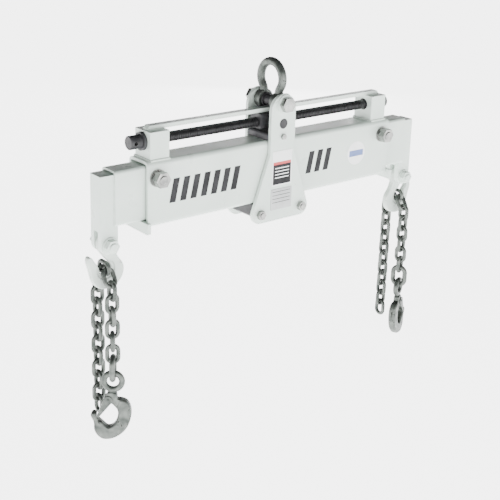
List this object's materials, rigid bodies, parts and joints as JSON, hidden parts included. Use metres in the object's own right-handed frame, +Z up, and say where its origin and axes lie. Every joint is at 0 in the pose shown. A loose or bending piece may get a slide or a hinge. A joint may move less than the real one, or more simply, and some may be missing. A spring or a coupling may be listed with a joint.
{
  "type": "spreader beam",
  "caption": "Adjustable lifting beam hung from a bow shackle, with a screw-shifted pick point, telescoping arms, grab hooks, chains and latched sling hooks.",
  "frame": {"origin": "point under the crown of the shackle bow where the crane hook bears", "axes": "+X along the beam to the right-hand arm, +Y to the back, +Z up"},
  "size_m": [1.035, 0.148, 0.8456],
  "materials": {
    "beam_paint": "glossy off-white paint",
    "galvanised": "dull galvanised steel",
    "zinc": "bright zinc plate",
    "black_oxide": "oiled black oxide",
    "pad_plastic": "dark grey plastic",
    "blank_plate": "printed sheet plate"
  },
  "bodies": {
    "shackle": {"shackle_bow": "galvanised"},
    "carriage": {"side_plate_front": "beam_paint", "side_plate_back": "beam_paint", "plate_bosses": "beam_paint", "pin_bolt": "zinc", "pin_nut": "zinc", "pin_spool": "black_oxide", "nut_block": "black_oxide", "slide_pad": "pad_plastic", "pad_screws": "zinc", "lower_block": "black_oxide", "lower_bolts": "zinc", "lower_nuts": "zinc", "warning_plate": "blank_plate", "data_plate": "blank_plate"},
    "beam": {"main_tube": "beam_paint", "support_bars": "beam_paint", "upright_left": "beam_paint", "upright_right": "beam_paint", "guide_bar": "beam_paint", "screw_bushings": "black_oxide", "clamp_washers": "zinc", "clamp_bolts": "zinc", "clamp_nuts": "zinc"},
    "screw": {"lead_screw": "black_oxide", "thrust_collar": "black_oxide", "drive_hub": "black_oxide", "end_collar": "black_oxide", "roll_pins": "black_oxide"},
    "arm_left": {"arm_left": "beam_paint", "end_bar_left": "beam_paint", "pivot_washers_left": "beam_paint", "pivot_bolt_left": "beam_paint", "pivot_nut_left": "beam_paint"},
    "grab_left": {"grab_hook_left": "beam_paint", "saddle_links_left": "galvanised"},
    "load_chain_left": {"load_chain_left": "galvanised"},
    "tail_chain_left": {"tail_chain_left": "galvanised"},
    "sling_left": {"sling_hook_left": "galvanised", "latch_pin_left": "galvanised"},
    "latch_left": {"hook_latch_left": "galvanised"},
    "arm_right": {"arm_right": "beam_paint", "end_bar_right": "beam_paint", "pivot_washers_right": "beam_paint", "pivot_bolt_right": "beam_paint", "pivot_nut_right": "beam_paint"},
    "grab_right": {"grab_hook_right": "beam_paint", "saddle_links_right": "galvanised"},
    "load_chain_right": {"load_chain_right": "galvanised"},
    "tail_chain_right": {"tail_chain_right": "galvanised"},
    "sling_right": {"sling_hook_right": "galvanised", "latch_pin_right": "galvanised"},
    "latch_right": {"hook_latch_right": "galvanised"}
  },
  "joints": [
    {"name": "carriage_swing", "type": "hinge", "parent": "shackle", "child": "carriage", "pos_m": [0, 0, -0.085], "axis": [0, 1, 0], "range_deg": [-30, 30]},
    {"name": "beam_travel", "type": "slide", "parent": "carriage", "child": "beam", "axis": [1, 0, 0], "range_m": [-0.26, 0.26]},
    {"name": "screw_turn", "type": "hinge", "parent": "beam", "child": "screw", "pos_m": [0, 0, -0.1335], "axis": [1, 0, 0], "range_deg": [-18725, 18725]},
    {"name": "arm_slide_left", "type": "slide", "parent": "beam", "child": "arm_left", "axis": [-1, 0, 0], "range_m": [0, 0.2]},
    {"name": "grab_swing_left", "type": "hinge", "parent": "arm_left", "child": "grab_left", "pos_m": [-0.468, 0, -0.352], "axis": [0, 1, 0], "range_deg": [-50, 50]},
    {"name": "load_swing_left", "type": "hinge", "parent": "grab_left", "child": "load_chain_left", "pos_m": [-0.47, -0.03203, -0.44577], "axis": [-1, 0, 0], "range_deg": [0, 60]},
    {"name": "tail_swing_left", "type": "hinge", "parent": "grab_left", "child": "tail_chain_left", "pos_m": [-0.47, 0.03203, -0.44577], "axis": [1, 0, 0], "range_deg": [0, 60]},
    {"name": "sling_swing_left", "type": "hinge", "parent": "load_chain_left", "child": "sling_left", "pos_m": [-0.47, -0.03203, -0.67117], "axis": [-0.6293, -0.7771, 0], "range_deg": [-50, 50]},
    {"name": "latch_swing_left", "type": "hinge", "parent": "sling_left", "child": "latch_left", "pos_m": [-0.47855, -0.02511, -0.72287], "axis": [-0.6293, -0.7771, 0], "range_deg": [0, 50], "stiffness_Nm_per_rad": 0.1, "springref_deg": -20.05},
    {"name": "arm_slide_right", "type": "slide", "parent": "beam", "child": "arm_right", "axis": [1, 0, 0], "range_m": [0, 0.2]},
    {"name": "grab_swing_right", "type": "hinge", "parent": "arm_right", "child": "grab_right", "pos_m": [0.468, 0, -0.352], "axis": [0, 1, 0], "range_deg": [-50, 50]},
    {"name": "load_swing_right", "type": "hinge", "parent": "grab_right", "child": "load_chain_right", "pos_m": [0.47, -0.03203, -0.44577], "axis": [-1, 0, 0], "range_deg": [0, 60]},
    {"name": "tail_swing_right", "type": "hinge", "parent": "grab_right", "child": "tail_chain_right", "pos_m": [0.47, 0.03203, -0.44577], "axis": [1, 0, 0], "range_deg": [0, 60]},
    {"name": "sling_swing_right", "type": "hinge", "parent": "load_chain_right", "child": "sling_right", "pos_m": [0.47, -0.03203, -0.67117], "axis": [-0.4067, 0.9135, 0], "range_deg": [-50, 50]},
    {"name": "latch_swing_right", "type": "hinge", "parent": "sling_right", "child": "latch_right", "pos_m": [0.48005, -0.02756, -0.72287], "axis": [-0.4067, 0.9135, 0], "range_deg": [0, 50], "stiffness_Nm_per_rad": 0.1, "springref_deg": -20.05}
  ],
  "couplings": [
    {"joint": "screw_turn", "follows": "beam_travel", "rad_per_m": 1256.6}
  ]
}
